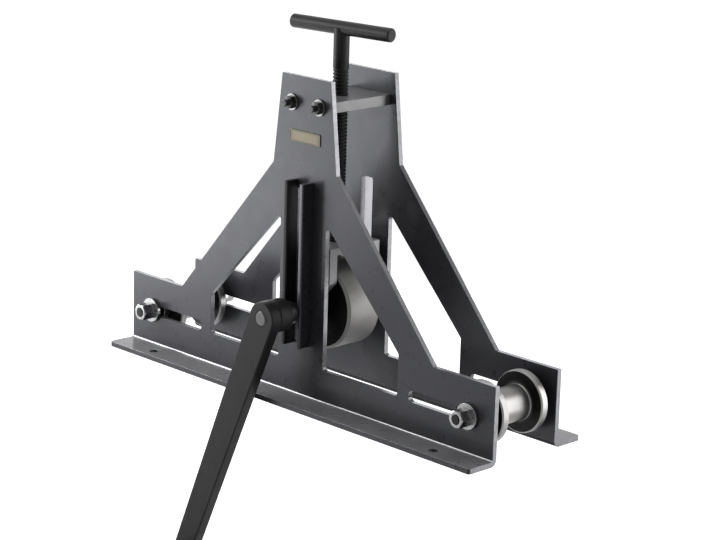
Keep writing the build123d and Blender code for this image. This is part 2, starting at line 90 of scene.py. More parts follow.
# Charcoal coat of the frame
PAINT_DARK = (0.026, 0.026, 0.030)
PAINT_LIGHT = (0.034, 0.034, 0.039)
PAINT_SPECULAR = 0.25
PAINT_TINT = (0.90, 0.92, 1.0, 1)
PEEL_SCALE = 450  # orange peel
PEEL_DEPTH = 0.000016
FOOT_TOP = 0.009  # height up to which a surface belongs to the foot
FOOT_FADE = 0.012  # height at which it no longer does
# Painted light: a lighter colour on the foot's upward face, where light falls
FOOT_PAINTED_LIGHT = (0.15, 0.15, 0.155)
# Painted highlight along the inside of the bend
BEND_PAINTED_HIGHLIGHT = (0.30, 0.30, 0.31)
EDGE_TINT = (1.0, 1.0, 1.04)  # of a cut edge, scaled by its level; lighter edges are partly scuffed metal and partly painted highlight
# The front plate's edges are painted lighter than the rear plate's: painted light
FRONT_EDGE_LEVEL = 0.17
REAR_EDGE_LEVEL = 0.11
# Levels of the rails' painted highlight
FRONT_RAIL_LEVEL = 0.06
REAR_RAIL_LEVEL = 0.13

# Metals
COOL_TINT = (1.0, 1.0, 1.05)
BRIDGE_LEVEL = 0.085
# The yoke's coat is painted lighter than the bridge's: painted light
YOKE_LEVEL = 0.18
ZINC_DARK = (0.90, 0.91, 0.93)
ZINC_LIGHT = (1.11, 1.11, 1.10)
ZINC_LEVEL = 0.24
# Darker zinc on the bridge washers: painted shade
SHADED_ZINC_LEVEL = 0.13
STEEL_TINT = (0.98, 0.965, 0.95)
STEEL_LEVEL = 0.20
STEEL_ROUGH = (0.34, 0.46)
# The centre roller's steel is painted darker than the lower rollers': painted shade
CENTRE_ROLLER_LEVEL = 0.145
CENTRE_ROLLER_ROUGH = (0.50, 0.62)
LATHE_SCALE = 1400  # rings per metre
LATHE_DEPTH = 0.00001
FLANGE = (0.0206, 0.0325)  # radii between which a lower roller's flange is painted black: painted shade
FLANGE_FADE = 0.0005

# Textures
NOISE_RANGE = (0.3, 0.7)  # where most of a noise's values lie
RING_DETAIL = 4

# Edges of the dressed solids
WELD_DISTANCE = 1e-6
FLAT_ANGLE = math.radians(0.6)
SHARP_ANGLE = math.radians(32)
SMOOTH_ANGLE = math.radians(40)
EDGE = {"frame_paint": 0.0005, "cross_steel": 0.0006, "black_paint": 0.0006}
PLAIN_EDGE = 0.0003

# Threads
SCREW_PITCH = 0.004
SCREW_THREAD_DEPTH = 0.0012
SCREW_THREAD_LOW = 0.196
SCREW_THREAD_HIGH = 0.378
STUD_PITCH = 0.00175
STUD_THREAD_DEPTH = 0.0011
BOLT_PITCH = 0.00125
BOLT_THREAD_DEPTH = 0.0008
ROWS_PER_PITCH = 10
THREAD_MIDDLE = 0.5  # mean depth, as a share of the full depth
THREAD_SWING = 0.85  # above a half, crest and root come out flat

# Ends of the screw
JOURNAL_R = 0.006
JOURNAL_CHAMFER = 0.001
SCREW_END_GAP = 0.00005  # between the thrust washer and the shoulder
TEE_BAR_YAW = math.radians(7)
SADDLE_RINGS = (1.0, 0.95, 0.9, 0.8, 0.6, 0.4, 0.2, 0.02)  # shares of the screw's radius

# Nuts and studs
NUT_SIDES = 96
ROD_SIDES = 48
NUT_CHAMFER_ANGLE = math.radians(30)
NUT_CHAMFER_STEPS = 5
NUT_BORE_R = 0.006
BOLT_R = 0.004
BOLT_TAIL = 0.006  # stud past the nut

# Label
LABEL_CORNER_R = 0.002
LABEL_CORNER_STEPS = 8
LABEL_RIM = 0.0012
LABEL_FIELD_DEPTH = 0.0003
LABEL_EDGE = 0.0002
LABEL_END_SHADE = (0.007, 0.003)  # distances from an end where it starts to darken and is darkest
LABEL_SIDE_SHADE = (0.003, 0.001)  # the same from a long side
LABEL_GRAIN = (60, 60, 4000)  # features per metre along each axis

# Inner pieces, which keep their plain solids
INNER = {
    "front_shaft_bush",
    "rear_shaft_bush",
    "screw_bush",
    "lead_nut",
    "roller_key",
    "retaining_pin",
    "left_roller_bushes",
    "right_roller_bushes",
    "left_axle_sleeve",
    "right_axle_sleeve",
}


# Camera, floor and light


def add_camera():
    """The camera at the photograph's viewing angle."""
    back = Vector(
        (
            math.sin(AZIMUTH) * math.cos(ELEVATION),
            -math.cos(AZIMUTH) * math.cos(ELEVATION),
            math.sin(ELEVATION),
        )
    )
    right = Vector((math.cos(AZIMUTH), math.sin(AZIMUTH), 0))
    up = back.cross(right)
    across = right * math.cos(ROLL) + up * math.sin(ROLL)
    upright = up * math.cos(ROLL) - right * math.sin(ROLL)
    turn = Matrix((across, upright, back)).transposed().to_4x4()
    data = bpy.data.cameras.new("camera")
    data.lens = LENS
    data.sensor_width = SENSOR
    data.clip_end = CLIP_END
    camera = bpy.data.objects.new("camera", data)
    camera.matrix_world = Matrix.Translation(TARGET + back * DISTANCE) @ turn
    SCENE.collection.objects.link(camera)
    SCENE.camera = camera


def seen_directly(nodes, links):
    """A socket that is 1 on camera, glossy and transmission rays and 0 on the others."""
    path = nodes.new("ShaderNodeLightPath")
    seen = path.outputs["Is Camera Ray"]
    for kind in ("Is Glossy Ray", "Is Transmission Ray"):
        either = nodes.new("ShaderNodeMath")
        either.operation = "MAXIMUM"
        links.new(seen, either.inputs[0])
        links.new(path.outputs[kind], either.inputs[1])
        seen = either.outputs[0]
    return seen


def add_world():
    """A white surround, at a lower level where it lights matt surfaces."""
    world = bpy.data.worlds.new("surround")
    world.use_nodes = True
    SCENE.world = world
    nodes, links = world.node_tree.nodes, world.node_tree.links
    background = nodes["Background"]
    background.inputs["Color"].default_value = WHITE
    level = nodes.new("ShaderNodeMapRange")
    level.inputs["To Min"].default_value = AMBIENT
    links.new(seen_directly(nodes, links), level.inputs["Value"])
    links.new(level.outputs["Result"], background.inputs["Strength"])


def floor_glow(nodes, links):
    """The floor's own white: less near the middle, where the lamps reach it."""
    place = nodes.new("ShaderNodeTexCoord")
    distance = nodes.new("ShaderNodeVectorMath")
    distance.operation = "LENGTH"
    links.new(place.outputs["Object"], distance.inputs[0])
    level = nodes.new("ShaderNodeMapRange")
    level.inputs["From Min"].default_value = FLOOR_NEAR
    level.inputs["From Max"].default_value = FLOOR_FAR
    level.inputs["To Min"].default_value = FLOOR_GLOW_NEAR
    level.inputs["To Max"].default_value = FLOOR_GLOW_FAR
    links.new(distance.outputs["Value"], level.inputs["Value"])
    glow = nodes.new("ShaderNodeMath")
    glow.operation = "MULTIPLY"
    links.new(seen_directly(nodes, links), glow.inputs[0])
    links.new(level.outputs["Result"], glow.inputs[1])
    return glow.outputs[0]


def add_floor():
    """A plain white floor that keeps the shadow."""
    half = FLOOR_SIZE / 2
    corners = [(-half, -half, 0), (half, -half, 0), (half, half, 0), (-half, half, 0)]
    mesh = bpy.data.meshes.new("floor")
    mesh.from_pydata(corners, [], [(0, 1, 2, 3)])
    floor = bpy.data.objects.new("floor", mesh)
    floor.location = (0, 0, FLOOR_Z)
    SCENE.collection.objects.link(floor)
    material = bpy.data.materials.new("floor")
    material.use_nodes = True
    nodes, links = material.node_tree.nodes, material.node_tree.links
    shader = nodes["Principled BSDF"]
    shader.inputs["Base Color"].default_value = FLOOR_COLOUR
    shader.inputs["Roughness"].default_value = 1
    shader.inputs["Specular IOR Level"].default_value = 0
    shader.inputs["Emission Color"].default_value = WHITE
    links.new(floor_glow(nodes, links), shader.inputs["Emission Strength"])
    mesh.materials.append(material)


def add_panel(name, place, aim, size, radiance):
    """A soft box: an area lamp at place that faces aim, of that width and height and even radiance."""
    width, height = size
    data = bpy.data.lights.new(name, "AREA")
    data.shape = "RECTANGLE"
    data.size = width
    data.size_y = height
    data.energy = math.pi * width * height * radiance
    lamp = bpy.data.objects.new(name, data)
    direction = Vector(aim) - Vector(place)
    lamp.location = place
    lamp.rotation_euler = direction.to_track_quat("-Z", "Y").to_euler()
    lamp.visible_camera = False
    SCENE.collection.objects.link(lamp)


def add_lights():
    """Soft boxes: left, behind on both sides and overhead, and two small ones on the left."""
    add_panel("left_panel", place=(-1.04, -0.645, 0.50), aim=(0, 0, 0.50), size=(0.66, 1.36), radiance=7.5)
    add_panel("right_panel", place=(0.89, 0.95, 0.32), aim=(0, 0, 0.32), size=(0.70, 1.26), radiance=6.5)
    add_panel("top_panel", place=(0, 0.1, 1.9), aim=(0, 0, 0), size=(1.6, 1.6), radiance=1.8)
    add_panel("end_panel", place=(-0.97, -0.22, 0.70), aim=(-0.20, -0.06, 0), size=(0.6, 0.25), radiance=9)
    add_panel("back_panel", place=(-1.15, 1.15, 0.25), aim=(0, 0, 0.15), size=(0.8, 0.9), radiance=2.5)
    add_panel("handle_panel", place=(-0.82, -1.33, 0.82), aim=(0, 0, 0.42), size=(0.3, 0.3), radiance=9)


# Materials


def scaled(colour, factor):
    """A colour with each part scaled."""
    return tuple(factor * part for part in colour)


class Finish:
    """A principled material whose nodes read the object's own coordinates."""

    def __init__(self, name, base, roughness, metallic=0.0, specular=0.5):
        self.material = bpy.data.materials.new(name)
        self.material.use_nodes = True
        self.nodes = self.material.node_tree.nodes
        self.links = self.material.node_tree.links
        self.shader = self.nodes["Principled BSDF"]
        self.shader.inputs["Base Color"].default_value = (*base, 1)
        self.shader.inputs["Roughness"].default_value = roughness
        self.shader.inputs["Metallic"].default_value = metallic
        self.shader.inputs["Specular IOR Level"].default_value = specular
        coordinates = self.nodes.new("ShaderNodeTexCoord")
        self.place = coordinates.outputs["Object"]
        self.facing = coordinates.outputs["Normal"]

    def connect(self, value, socket):
        """Links a socket, or sets a plain value."""
        if isinstance(value, bpy.types.NodeSocket):
            self.links.new(value, socket)
        else:
            socket.default_value = (*value, 1) if isinstance(value, tuple) else value

    def component(self, vector, axis):
        """One component of a vector."""
        parts = self.nodes.new("ShaderNodeSeparateXYZ")
        self.links.new(vector, parts.inputs[0])
        return parts.outputs[axis]

    def math(self, operation, *values):
        """A Math node on sockets or numbers."""
        node = self.nodes.new("ShaderNodeMath")
        node.operation = operation
        for value, socket in zip(values, node.inputs):
            self.connect(value, socket)
        return node.outputs[0]

    def both(self, first, second):
        """A mask that is on where two masks are."""
        return self.math("MULTIPLY", first, second)

    def either(self, first, second):
        """A mask that is on where one of two masks is."""
        return self.math("MAXIMUM", first, second)

    def squarely(self, axis):
        """How squarely a surface faces along an axis, either way, from 0 to 1."""
        return self.math("ABSOLUTE", self.component(self.facing, axis))

    def from_point(self, centre):
        """The object's coordinates, measured from a point."""
        offset = self.nodes.new("ShaderNodeVectorMath")
        offset.operation = "SUBTRACT"
        offset.inputs[1].default_value = centre
        self.links.new(self.place, offset.inputs[0])
        return offset.outputs[0]

    def stretched(self, scale):
        """The object's coordinates with each axis scaled on its own."""
        mapping = self.nodes.new("ShaderNodeMapping")
        mapping.inputs["Scale"].default_value = scale
        self.links.new(self.place, mapping.inputs["Vector"])
        return mapping.outputs["Vector"]

    def noise(self, scale, detail, place=None):
        """A noise of that many features per metre."""
        texture = self.nodes.new("ShaderNodeTexNoise")
        texture.inputs["Scale"].default_value = scale
        texture.inputs["Detail"].default_value = detail
        self.links.new(place or self.place, texture.inputs["Vector"])
        return texture.outputs["Fac"]

    def radius(self, centre):
        """The distance from an axis along Y through centre."""
        local = self.from_point(centre)
        flat = self.nodes.new("ShaderNodeCombineXYZ")
        self.links.new(self.component(local, "X"), flat.inputs["X"])
        self.links.new(self.component(local, "Z"), flat.inputs["Z"])
        length = self.nodes.new("ShaderNodeVectorMath")
        length.operation = "LENGTH"
        self.links.new(flat.outputs[0], length.inputs[0])
        return length.outputs["Value"]

    def rings(self, centre, scale):
        """Fine rings about an axis along Y through centre, as a lathe leaves them."""
        along = self.math("ADD", self.radius(centre), self.component(self.place, "Y"))
        texture = self.nodes.new("ShaderNodeTexNoise")
        texture.noise_dimensions = "1D"
        texture.inputs["Scale"].default_value = scale
        texture.inputs["Detail"].default_value = RING_DETAIL
        self.links.new(along, texture.inputs["W"])
        return texture.outputs["Fac"]

    def ramp(self, value, off, on, start=0.0, end=1.0):
        """Runs from start, where a value is off, to end, where it is on."""
        ranged = self.nodes.new("ShaderNodeMapRange")
        ranged.inputs["From Min"].default_value = off
        ranged.inputs["From Max"].default_value = on
        ranged.inputs["To Min"].default_value = start
        ranged.inputs["To Max"].default_value = end
        self.links.new(value, ranged.inputs["Value"])
        return ranged.outputs["Result"]

    def spread(self, noise, start, end):
        """A noise mapped on to the range start to end."""
        return self.ramp(noise, *NOISE_RANGE, start, end)

    def mixed(self, mask, first, second):
        """A colour that runs from first to second with a mask."""
        mix = self.nodes.new("ShaderNodeMix")
        mix.data_type = "RGBA"
        self.links.new(mask, mix.inputs["Factor"])
        self.connect(first, mix.inputs["A"])
        self.connect(second, mix.inputs["B"])
        return mix.outputs["Result"]

    def mottled(self, noise, first, second):
        """A colour that runs from first to second with a noise."""
        return self.mixed(self.spread(noise, start=0.0, end=1.0), first, second)

    def drive(self, name, value):
        """Links a value to one of the shader's sockets."""
        self.links.new(value, self.shader.inputs[name])

    def colour(self, value):
        """Sets the base colour."""
        self.drive("Base Color", value)

    def gloss(self, noise, low, high):
        """The roughness runs from low to high with a noise."""
        self.drive("Roughness", self.spread(noise, low, high))

    def relief(self, noise, depth):
        """A bump of that depth in metres."""
        bump = self.nodes.new("ShaderNodeBump")
        bump.inputs["Distance"].default_value = depth
        self.links.new(noise, bump.inputs["Height"])
        self.drive("Normal", bump.outputs["Normal"])


def coat(name, roughness):
    """The frame's satin charcoal powder coat, with a fine orange peel, to be finished further."""
    finish = Finish(name, PAINT_DARK, roughness, specular=PAINT_SPECULAR)
    finish.shader.inputs["Specular Tint"].default_value = PAINT_TINT
    finish.relief(finish.noise(PEEL_SCALE, detail=2), PEEL_DEPTH)
    return finish


def plate_paint(name, edge_level):
    """The coat on a cut plate: edges lighter, partly scuffed and partly painted highlight; painted
    highlight on the bend; painted light on the foot's top; matt below.
    """
    finish = coat(name, roughness=0.30)
    across = finish.squarely("Y")
    upward = finish.component(finish.facing, "Z")
    low = finish.ramp(finish.component(finish.place, "Z"), off=FOOT_FADE, on=FOOT_TOP)
    foot = finish.both(finish.ramp(upward, off=0.75, on=0.95), low)
    not_foot = finish.math("SUBTRACT", 1.0, foot)
    edge = finish.both(finish.ramp(across, off=0.55, on=0.25), not_foot)
    # Lighter, half metallic cut edges: partly scuffs, partly painted highlight
    edge_scuff_and_highlight = finish.both(edge, finish.spread(finish.noise(scale=140, detail=5), start=0.75, end=1.0))
    # Painted light on the foot's upward face, with a faint mottle
    foot_light = finish.both(foot, finish.spread(finish.noise(scale=40, detail=5), start=0.7, end=1.0))
    # Painted highlight along the inside of the bend, lighter and half metallic
    tilted = finish.both(finish.ramp(across, off=0.15, on=0.4), finish.ramp(upward, off=0.15, on=0.4))
    bend = finish.both(tilted, low)
    paint = finish.mottled(finish.noise(scale=9, detail=5), PAINT_DARK, PAINT_LIGHT)
    foot_lit = finish.mixed(foot_light, paint, FOOT_PAINTED_LIGHT)
    edged = finish.mixed(edge_scuff_and_highlight, foot_lit, scaled(EDGE_TINT, edge_level))
    finish.colour(finish.mixed(bend, edged, BEND_PAINTED_HIGHLIGHT))
    brightened = finish.either(edge_scuff_and_highlight, bend)
    finish.drive("Metallic", finish.ramp(brightened, off=0.0, on=1.0, end=0.55))
    matt = finish.both(finish.ramp(upward, off=-0.1, on=-0.3, end=0.95), low)
    satin = finish.spread(finish.noise(scale=60, detail=4), start=0.26, end=0.34)
    finish.drive("Roughness", finish.either(satin, matt))
    return finish.material


def rail_paint(name, axis, level):
    """The coat on the rails, painted lighter and half metallic to that level on the faces across an axis:
    a painted highlight.
    """
    finish = coat(name, roughness=0.28)
    # Painted highlight: lighter, half metallic faces across the axis
    painted_highlight = finish.ramp(finish.squarely(axis), off=0.6, on=0.8)
    paint = finish.mottled(finish.noise(scale=18, detail=5), PAINT_DARK, PAINT_LIGHT)
    finish.colour(finish.mixed(painted_highlight, paint, scaled(COOL_TINT, level)))
    finish.drive("Metallic", finish.ramp(painted_highlight, off=0.0, on=1.0, end=0.5))
    finish.gloss(finish.noise(scale=60, detail=4), low=0.24, high=0.32)
    return finish.material


def cross_steel(name="cross_steel", level=BRIDGE_LEVEL):
    """A thinner and lighter coat, on the bridge and the yoke."""
    finish = Finish(name, scaled(COOL_TINT, level), roughness=0.4)
    tones = [scaled(COOL_TINT, share * level) for share in (0.87, 1.13)]
    finish.colour(finish.mottled(finish.noise(scale=14, detail=5), *tones))
    finish.gloss(finish.noise(scale=80, detail=4), low=0.36, high=0.46)
    finish.relief(finish.noise(scale=1300, detail=2), depth=0.000012)
    return finish.material


def black_paint():
    """Black coat on the crank, and on the left front rail as painted shade."""
    finish = Finish("black_paint", (0.009, 0.009, 0.010), roughness=0.46, specular=0.12)
    mottle = finish.noise(scale=25, detail=5)
    finish.colour(finish.mottled(mottle, (0.007, 0.007, 0.008), (0.012, 0.012, 0.013)))
    finish.gloss(finish.noise(scale=90, detail=4), low=0.42, high=0.52)
    finish.relief(finish.noise(scale=1500, detail=2), depth=0.00004)
    return finish.material


def handle_black():
    """Satin black coat on the T handle, duller on its ends."""
    finish = Finish("handle_black", (0.008, 0.008, 0.009), roughness=0.33, specular=0.24)
    mottle = finish.noise(scale=30, detail=5)
    finish.colour(finish.mottled(mottle, (0.006, 0.006, 0.007), (0.011, 0.011, 0.012)))
    end = finish.ramp(finish.squarely("X"), off=0.7, on=0.9, end=0.65)
    satin = finish.spread(finish.noise(scale=110, detail=4), start=0.29, end=0.37)
    finish.drive("Roughness", finish.either(satin, end))
    finish.relief(finish.noise(scale=1500, detail=2), depth=0.00002)
    return finish.material


def screw_black():
    """Oiled black on the screw and the axle studs."""
    finish = Finish("screw_black", (0.009, 0.009, 0.010), roughness=0.47, specular=0.13)
    mottle = finish.noise(scale=60, detail=5)
    finish.colour(finish.mottled(mottle, (0.007, 0.007, 0.008), (0.012, 0.012, 0.012)))
    finish.gloss(finish.noise(scale=140, detail=4), low=0.42, high=0.52)
    finish.relief(finish.noise(scale=1500, detail=2), depth=0.00002)
    return finish.material


def oxide(finish):
    """The mottled colour of black oxide."""
    return finish.mottled(finish.noise(scale=120, detail=5), (0.018, 0.018, 0.020), (0.036, 0.035, 0.034))


def black_steel():
    """Oiled black oxide."""
    finish = Finish("black_steel", (0.03, 0.03, 0.032), roughness=0.35, metallic=0.7)
    finish.colour(oxide(finish))
    finish.gloss(finish.noise(scale=300, detail=4), low=0.30, high=0.44)
    finish.relief(finish.noise(scale=2200, detail=2), depth=0.00002)
    return finish.material


def shaft_steel():
    """Black oxide, faced off bright at the two ends."""
    finish = Finish("shaft_steel", (0.03, 0.03, 0.032), roughness=0.35, metallic=0.8)
    brightened = finish.ramp(finish.squarely("Y"), off=0.6, on=0.9)
    finish.colour(finish.mixed(brightened, oxide(finish), (0.06, 0.06, 0.06)))
    finish.gloss(finish.noise(scale=300, detail=4), low=0.32, high=0.46)
    finish.relief(finish.noise(scale=1800, detail=2), depth=0.00002)
    return finish.material


def turned_steel(name, centre, level, rough, flange=None):
    """Steel turned bright where it runs, with lathe rings, and painted black on its end faces as painted
    shade.

    With flange, its inner and outer radius, the hollow corner at the flange's foot is painted black too,
    as painted shade.
    """
    finish = Finish(name, (level, level, level), roughness=rough[0], metallic=1.0)
    rings = finish.rings(centre, LATHE_SCALE)
    # Painted shade: end faces and the flange's hollow corner are painted black
    end = finish.ramp(finish.squarely("Y"), off=0.80, on=0.92)
    if flange:
        radius = finish.radius(centre)
        outside = finish.ramp(radius, off=flange[0], on=flange[0] + FLANGE_FADE)
        inside = finish.ramp(radius, off=flange[1], on=flange[1] - FLANGE_FADE)
        end = finish.either(end, finish.both(outside, inside))
    tones = [scaled(STEEL_TINT, share * level) for share in (0.88, 1.12)]
    bright = finish.mottled(finish.noise(scale=35, detail=5), *tones)
    shade_mottle = finish.noise(scale=120, detail=5)
    black = finish.mottled(shade_mottle, (0.010, 0.010, 0.011), (0.018, 0.018, 0.017))
    finish.colour(finish.mixed(end, bright, black))
    finish.gloss(rings, *rough)
    finish.relief(rings, LATHE_DEPTH)
    return finish.material


def roller_steel(node):
    """Turned steel about a node's own axis."""
    name, centre = f"roller_steel_{node}", middle(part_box(node))
    if node == "centre_roller":
        # Painted shade: a darker copy of the turned steel
        return turned_steel(name, centre, CENTRE_ROLLER_LEVEL, CENTRE_ROLLER_ROUGH)
    flange = FLANGE if node.endswith("_roller") else None
    return turned_steel(name, centre, STEEL_LEVEL, STEEL_ROUGH, flange)


def zinc_plate(name="zinc_plate", level=ZINC_LEVEL):
    """Zinc plate, with a faint mottle."""
    finish = Finish(name, (level, level, level), roughness=0.28, metallic=1.0)
    mottle = finish.noise(scale=220, detail=5)
    finish.colour(finish.mottled(mottle, scaled(ZINC_DARK, level), scaled(ZINC_LIGHT, level)))
    finish.gloss(finish.noise(scale=250, detail=3), low=0.24, high=0.32)
    return finish.material


def bronze():
    """Machined bronze."""
    finish = Finish("bronze", (0.30, 0.19, 0.08), roughness=0.35, metallic=1.0)
    mottle = finish.noise(scale=160, detail=5)
    finish.colour(finish.mottled(mottle, (0.26, 0.16, 0.065), (0.34, 0.22, 0.10)))
    finish.gloss(finish.noise(scale=600, detail=3), low=0.28, high=0.42)
    return finish.material


def label_brass():
    """Brushed brass with its grain along the plate, darker towards the rim."""
    finish = Finish("label_brass", (0.10, 0.087, 0.055), roughness=0.43, metallic=0.5, specular=0.4)
    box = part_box("label_plate")
    half = (box[1] - box[0]) / 2
    local = finish.from_point(middle(box))
    along = finish.math("ABSOLUTE", finish.component(local, "X"))
    across = finish.math("ABSOLUTE", finish.component(local, "Z"))
    end = finish.ramp(along, *(half[0] - inset for inset in LABEL_END_SHADE))
    side = finish.ramp(across, *(half[2] - inset for inset in LABEL_SIDE_SHADE))
    grain = finish.noise(scale=1, detail=3, place=finish.stretched(LABEL_GRAIN))
    field = finish.mottled(grain, (0.078, 0.066, 0.040), (0.125, 0.107, 0.070))
    finish.colour(finish.mixed(finish.either(end, side), field, (0.060, 0.055, 0.036)))
    finish.gloss(grain, low=0.36, high=0.50)
    finish.relief(grain, depth=0.00001)
    return finish.material


def grip_plastic():
    """Moulded black plastic with a fine grain."""
    finish = Finish("grip_plastic", (0.016, 0.016, 0.017), roughness=0.5, specular=0.35)
    mottle = finish.noise(scale=40, detail=4)
    finish.colour(finish.mottled(mottle, (0.013, 0.013, 0.014), (0.021, 0.021, 0.022)))
    finish.gloss(finish.noise(scale=500, detail=3), low=0.44, high=0.6)
    finish.relief(finish.noise(scale=1600, detail=2), depth=0.00006)
    return finish.material


def make_materials():
    """A material for each slot that needs one, by its name, and for the nodes that have their own."""
    plain = [cross_steel, black_paint, black_steel, zinc_plate, bronze, label_brass, grip_plastic]
    made = {maker.__name__: maker() for maker in plain}
    made["front_plate"] = plate_paint("front_plate_paint", FRONT_EDGE_LEVEL)
    made["rear_plate"] = plate_paint("rear_plate_paint", REAR_EDGE_LEVEL)
    # Painted shade: the left front rail takes the black coat
    made["front_rail_left"] = made["black_paint"]
    made["front_rail_right"] = rail_paint("front_rail_paint", "Y", FRONT_RAIL_LEVEL)
    made["rear_rail_left"] = rail_paint("rear_rail_paint", "X", REAR_RAIL_LEVEL)
    made["rear_rail_right"] = made["rear_rail_left"]
    # Painted light: the yoke gets a lighter copy of the bridge's coat
    made["yoke"] = cross_steel("yoke_steel", YOKE_LEVEL)
    # Painted shade: darker zinc on the bridge washers
    made["bridge_washers"] = zinc_plate("zinc_plate_shaded", SHADED_ZINC_LEVEL)
    made["tee_bar"] = handle_black()
    made["lead_screw"] = screw_black()
    made["left_axle_stud"] = made["lead_screw"]
    made["right_axle_stud"] = made["lead_screw"]
    made["drive_shaft"] = shaft_steel()
    for node, slot in SLOT_OF.items():
        if slot == "roller_steel":
            made[node] = roller_steel(node)
    return made


# Meshes


def islands(node):
    """The lowest and highest corners of each separate solid in a node."""
    form = bmesh.new()
    form.from_mesh(NODES[node].data)
    bmesh.ops.remove_doubles(form, verts=form.verts, dist=WELD_DISTANCE)
    waiting = set(form.verts)
    boxes = []
    while waiting:
        group, edge = set(), [waiting.pop()]
        while edge:
            vertex = edge.pop()
            group.add(vertex)
            near = {e.other_vert(vertex) for e in vertex.link_edges} & waiting
            waiting -= near
            edge.extend(near)
        corners = [v.co for v in group]
        low = Vector([min(c[i] for c in corners) for i in range(3)])
        high = Vector([max(c[i] for c in corners) for i in range(3)])
        boxes.append((low, high))
    form.free()
    return sorted(boxes, key=lambda box: tuple(box[0]))


def middle(box):
    """The middle of a box."""
    return (box[0] + box[1]) / 2


def about_y(centre):
    """Places a point given by its radius, angle and station along an axis parallel to Y."""
    return lambda radius, angle, station: (
        centre[0] + radius * math.cos(angle),
        station,
        centre[2] + radius * math.sin(angle),
    )


def about_z(centre):
    """The same about an axis parallel to Z."""
    return lambda radius, angle, station: (
        centre[0] + radius * math.cos(angle),
        centre[1] + radius * math.sin(angle),
        station,
    )


def add_skin(form, loops, hollow=False):
    """Adds a body to form, lofted through loops of points; a hollow one closes on its first loop."""
    rings = [[form.verts.new(point) for point in loop] for loop in loops]
    pairs = list(zip(rings, rings[1:]))
    if hollow:
        pairs.append((rings[-1], rings[0]))
    else:
        form.faces.new(list(reversed(rings[0])))
        form.faces.new(rings[-1])
    for first, second in pairs:
        for k in range(len(first)):
            n = (k + 1) % len(first)
            form.faces.new((first[k], first[n], second[n], second[k]))


def at_angle(value, angle):
    """A plain value, or one that depends on the angle."""
    return value(angle) if callable(value) else value


def add_turned(form, rows, sides, put, hollow=False):
    """Adds a turned body to form, through rows of (station, radius), either one plain or by angle."""
    angles = [2 * math.pi * k / sides for k in range(sides)]
    loops = []
    for station, radius in rows:
        loops.append([put(at_angle(radius, a), a, at_angle(station, a)) for a in angles])
    add_skin(form, loops, hollow)


def finished_mesh(form, name):
    """The mesh of a form, with its faces turned outwards."""
    bmesh.ops.recalc_face_normals(form, faces=form.faces)
    mesh = bpy.data.meshes.new(name)
    form.to_mesh(mesh)
    form.free()
    mesh.shade_smooth()
    mesh.set_sharp_from_angle(angle=SMOOTH_ANGLE)
    return mesh


def thread_rows(crest, depth, pitch, low, high):
    """Rows of a thread between two stations, running out at both ends."""

    def row(station):
        runout = min(1.0, (station - low) / pitch, (high - station) / pitch)

        def radius(angle):
            wave = THREAD_MIDDLE - THREAD_SWING * math.cos(2 * math.pi * station / pitch - angle)
            return crest - depth * runout * min(1.0, max(0.0, wave))

        return station, radius

    count = round((high - low) / pitch * ROWS_PER_PITCH)
    return [row(low + (high - low) * i / count) for i in range(count + 1)]


def hexagon(flats, angle):
    """The radius of a hexagon with a flat at the top, at an angle."""
    sixth = math.pi / 3
    from_flat = (angle - math.pi / 2 + sixth / 2) % sixth - sixth / 2
    return flats / 2 / math.cos(from_flat)


def nut_rows(flats, bore, low, high):
    """Rows of a chamfered hexagon nut, from the bore round the outside and back."""
    corner = flats / math.sqrt(3)
    drop = (corner - flats / 2) * math.tan(NUT_CHAMFER_ANGLE)

    def row(end, inward, step):
        limit = flats / 2 + (corner - flats / 2) * step / NUT_CHAMFER_STEPS
        station = end + inward * drop * step / NUT_CHAMFER_STEPS
        return station, lambda angle: min(limit, hexagon(flats, angle))

    steps = range(NUT_CHAMFER_STEPS + 1)
    lower = [row(low, 1, step) for step in steps]
    upper = [row(high, -1, step) for step in reversed(steps)]
    return [(low, bore), *lower, *upper, (high, bore)]


# Pieces


def add_piece(name, mesh, node, material):
    """A new piece that stands for a node and rides on its body."""
    mesh.materials.clear()
    mesh.materials.append(material)
    piece = bpy.data.objects.new(name, mesh)
    SCENE.collection.objects.link(piece)
    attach(piece, NODES[node]["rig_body"])
    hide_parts(node)
    return piece


def dress(node, material, edge):
    """A node's solid with its sharp edges rounded off, in its place."""
    form = bmesh.new()
    form.from_mesh(NODES[node].data)
    bmesh.ops.remove_doubles(form, verts=form.verts, dist=WELD_DISTANCE)
    bmesh.ops.dissolve_limit(form, angle_limit=FLAT_ANGLE, verts=form.verts, edges=form.edges)
    sharp = [e for e in form.edges if e.is_manifold and e.calc_face_angle() > SHARP_ANGLE]
    bmesh.ops.bevel(
        form,
        geom=sharp,
        offset=edge,
        offset_type="OFFSET",
        segments=2,
        profile=0.5,
        affect="EDGES",
        clamp_overlap=True,
    )
    piece = add_piece(f"{node}_dressed", finished_mesh(form, f"{node}_dressed"), node, material)
    normals = piece.modifiers.new("normals", "WEIGHTED_NORMAL")
    normals.keep_sharp = True


def add_made(node, material, form):
    """The piece made of a form, in a node's place."""
    add_piece(f"{node}_made", finished_mesh(form, f"{node}_made"), node, material)


def hex_nuts(node, material):
    """A node's hexagon nuts with their corners turned to arcs."""
    form = bmesh.new()
    for low, high in islands(node):
        size = high - low
        rows = nut_rows(min(size[0], size[2]), NUT_BORE_R, low[1], high[1])
        add_turned(form, rows, NUT_SIDES, about_y(middle((low, high))), hollow=True)
    add_made(node, material, form)


